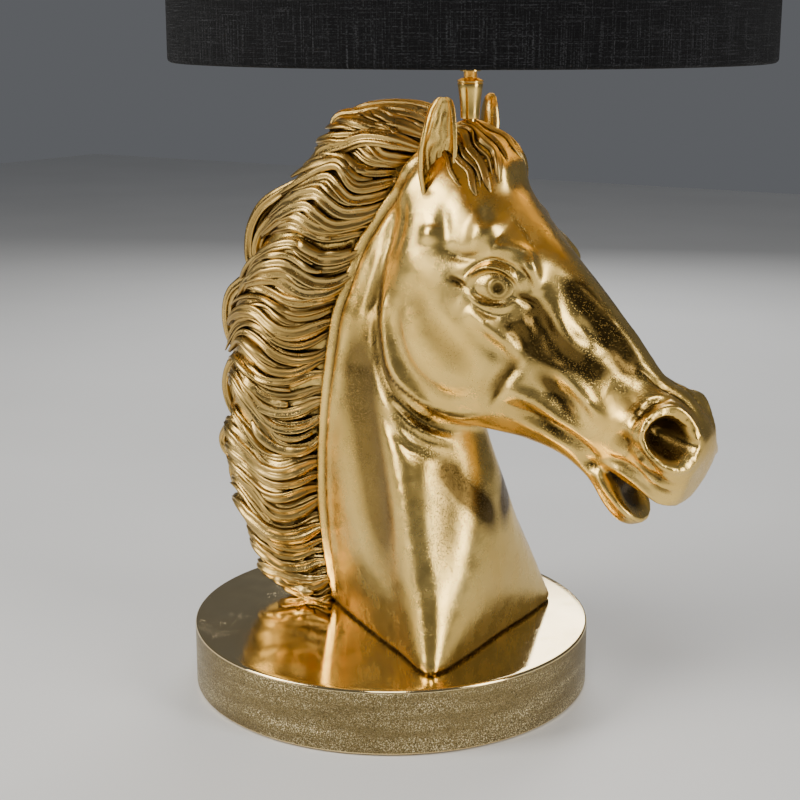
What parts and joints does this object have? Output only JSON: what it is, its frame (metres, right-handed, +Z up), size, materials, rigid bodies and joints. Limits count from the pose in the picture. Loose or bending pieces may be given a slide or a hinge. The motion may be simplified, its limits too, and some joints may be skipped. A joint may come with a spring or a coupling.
{
  "type": "table lamp",
  "caption": "Table lamp: a cast horse head in gold colour on a round base, with a collar and tube at the poll that carry a lampholder, a bulb and a black fabric drum shade.",
  "frame": {"origin": "centre of the round base, on the underside of its felt pad", "axes": "+Z up, +X the way the horse faces, -Y the horse's right side; the horse's middle plane is y = 0"},
  "size_m": [0.3588, 0.35, 0.613],
  "materials": {
    "gold_head": "polished gold-coloured casting with pitted satin hollows",
    "gold_base": "mirror-polished top, sparkling cast-grain side, gold-coloured",
    "gold_trim": "polished gold-coloured metal",
    "brass": "bright brass",
    "tube": "brass-plated threaded steel",
    "steel": "zinc-plated steel",
    "felt": "black wool felt",
    "porcelain": "glazed porcelain white",
    "ring_plastic": "black moulded plastic",
    "block_plastic": "white nylon",
    "bush_rubber": "black rubber",
    "live": "brown insulation",
    "neutral": "blue insulation",
    "earth": "green and yellow insulation",
    "cover_fabric": "black slub weave laminated to film",
    "lining_gold": "gold foil film",
    "wire_white": "white powder coat",
    "bulb_glass": "frosted glass",
    "bulb_metal": "bare metal",
    "bulb_black": "black vitrite glass",
    "stem_glass": "clear glass",
    "filament": "yellow phosphor"
  },
  "bodies": {
    "lamp": {"horse_head": "gold_head", "base_casting": "gold_base", "cover_plate": "steel", "felt_pad": "felt", "cover_screws": "steel", "head_screws": "steel", "threaded_tube": "tube", "tube_nuts": "steel", "tube_washer": "steel", "poll_collar": "gold_trim", "seat_washer": "gold_trim", "holder_cup": "gold_trim", "holder_shell": "gold_trim", "holder_insert": "porcelain", "screw_shell": "brass", "centre_contact": "brass", "holder_terminals": "brass", "shade_ring": "ring_plastic", "live_core": "live", "neutral_core": "neutral", "terminal_block": "block_plastic", "terminal_screws": "steel", "block_screw": "steel", "earth_tag": "brass", "earth_screw": "steel", "earth_core": "earth", "inlet_bush": "bush_rubber"},
    "shade": {"shade_cover": "cover_fabric", "shade_lining": "lining_gold", "shade_top_wire": "wire_white", "shade_carrier": "wire_white"},
    "bulb_tip": {"bulb_tip": "bulb_metal"},
    "bulb": {"bulb_glass": "bulb_glass", "bulb_cap": "bulb_metal", "bulb_insulator": "bulb_black", "bulb_stem": "stem_glass", "bulb_filaments": "filament"}
  },
  "joints": [
    {"name": "shade_turn", "type": "hinge", "parent": "lamp", "child": "shade", "pos_m": [0.055, 0, 0.4], "axis": [0, 0, 1], "continuous": true},
    {"name": "bulb_rise", "type": "slide", "parent": "lamp", "child": "bulb_tip", "axis": [0, 0, 1], "range_m": [0, 0.0217]},
    {"name": "bulb_turn", "type": "hinge", "parent": "bulb_tip", "child": "bulb", "pos_m": [0.055, 0, 0.45], "axis": [0, 0, 1], "range_deg": [0, 2160]}
  ],
  "couplings": [
    {"joint": "bulb_rise", "follows": "bulb_turn", "m_per_rad": 0.00057296}
  ]
}
